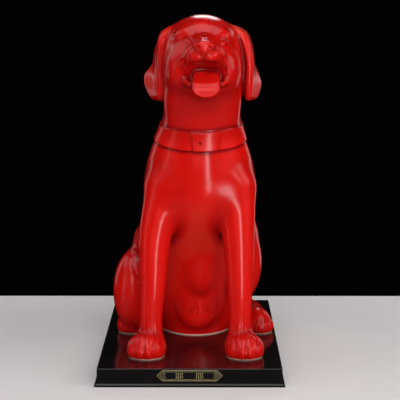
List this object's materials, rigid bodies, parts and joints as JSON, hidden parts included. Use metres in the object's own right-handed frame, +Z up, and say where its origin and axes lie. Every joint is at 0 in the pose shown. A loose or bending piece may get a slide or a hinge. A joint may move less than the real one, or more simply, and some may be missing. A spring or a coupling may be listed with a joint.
{
  "type": "porcelain dog figure",
  "caption": "Glazed porcelain dog figure, sitting upright with its mouth open and ears hanging, on a flat lacquered plinth with a small nameplate.",
  "frame": {"origin": "centre of the plinth's underside, on the surface that the figure stands on", "axes": "+Z up; the dog faces -Y, so the plinth's length lies along Y and its width along X"},
  "size_m": [0.26, 0.41, 0.5],
  "materials": {
    "red_glaze": "opaque high-gloss red glaze over porcelain",
    "black_lacquer": "glossy black lacquer",
    "gilt_plate": "gilt lines on a black enamelled plate"
  },
  "bodies": {
    "root": {"dog": "red_glaze", "plinth": "black_lacquer", "nameplate": "gilt_plate"}
  },
  "joints": []
}
